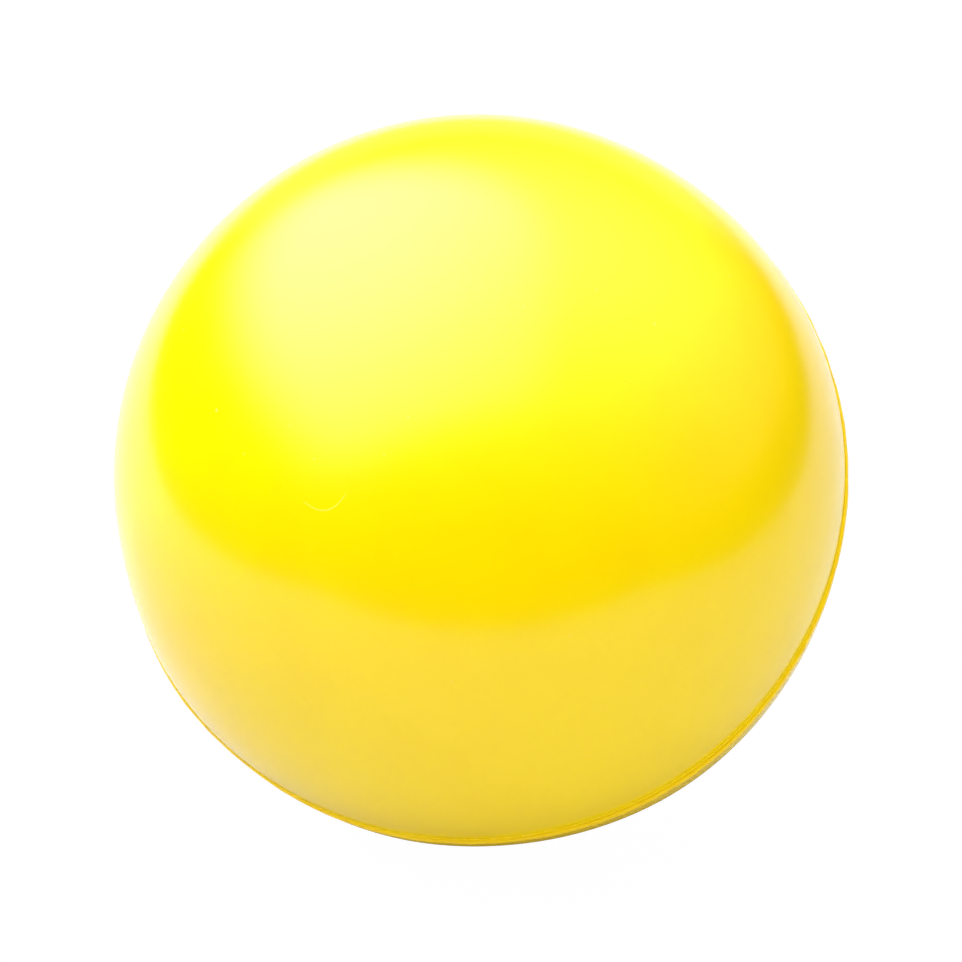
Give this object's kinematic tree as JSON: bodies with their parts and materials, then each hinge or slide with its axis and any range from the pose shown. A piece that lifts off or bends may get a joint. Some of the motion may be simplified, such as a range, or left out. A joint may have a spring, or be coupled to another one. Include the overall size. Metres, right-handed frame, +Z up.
{
  "type": "stress ball",
  "caption": "Round moulded foam ball with a dense satin skin, a soft core and a thin parting line, that a hand squeezes and that springs back.",
  "frame": {"origin": "the ball's lowest point, where it rests, under its centre", "axes": "+Z up through the ball's centre; -Y towards the viewer. The mould axis, from the back skin's gate to the front skin's pole, leans 46.6 degrees from +Z towards -Y and is turned 10.2 degrees from there towards -X"},
  "size_m": [0.0632, 0.063, 0.063],
  "materials": {
    "coated_skin": "satin yellow coat on dense polyurethane foam skin",
    "trimmed_flash": "trimmed orange-yellow parting line, slightly rough",
    "trimmed_gate": "cut foam stub, matt",
    "core_foam": "pale cellular polyurethane foam, matt"
  },
  "bodies": {
    "palm_side": {"skin_back_half": "coated_skin", "gate_plug": "trimmed_gate"},
    "middle": {"foam_core": "core_foam", "parting_bead": "trimmed_flash"},
    "press_side": {"skin_front_half": "coated_skin"}
  },
  "joints": [
    {"name": "squeeze", "type": "slide", "parent": "palm_side", "child": "press_side", "axis": [0, 0, -1], "range_m": [0, 0.028], "stiffness_N_per_m": 2000, "deforming": ["skin_front_half", "skin_back_half", "gate_plug"]},
    {"name": "core_follow", "type": "slide", "parent": "palm_side", "child": "middle", "axis": [0, 0, -1], "range_m": [0, 0.014], "deforming": ["foam_core", "parting_bead"]}
  ],
  "couplings": [
    {"joint": "core_follow", "follows": "squeeze", "ratio": 0.5}
  ]
}
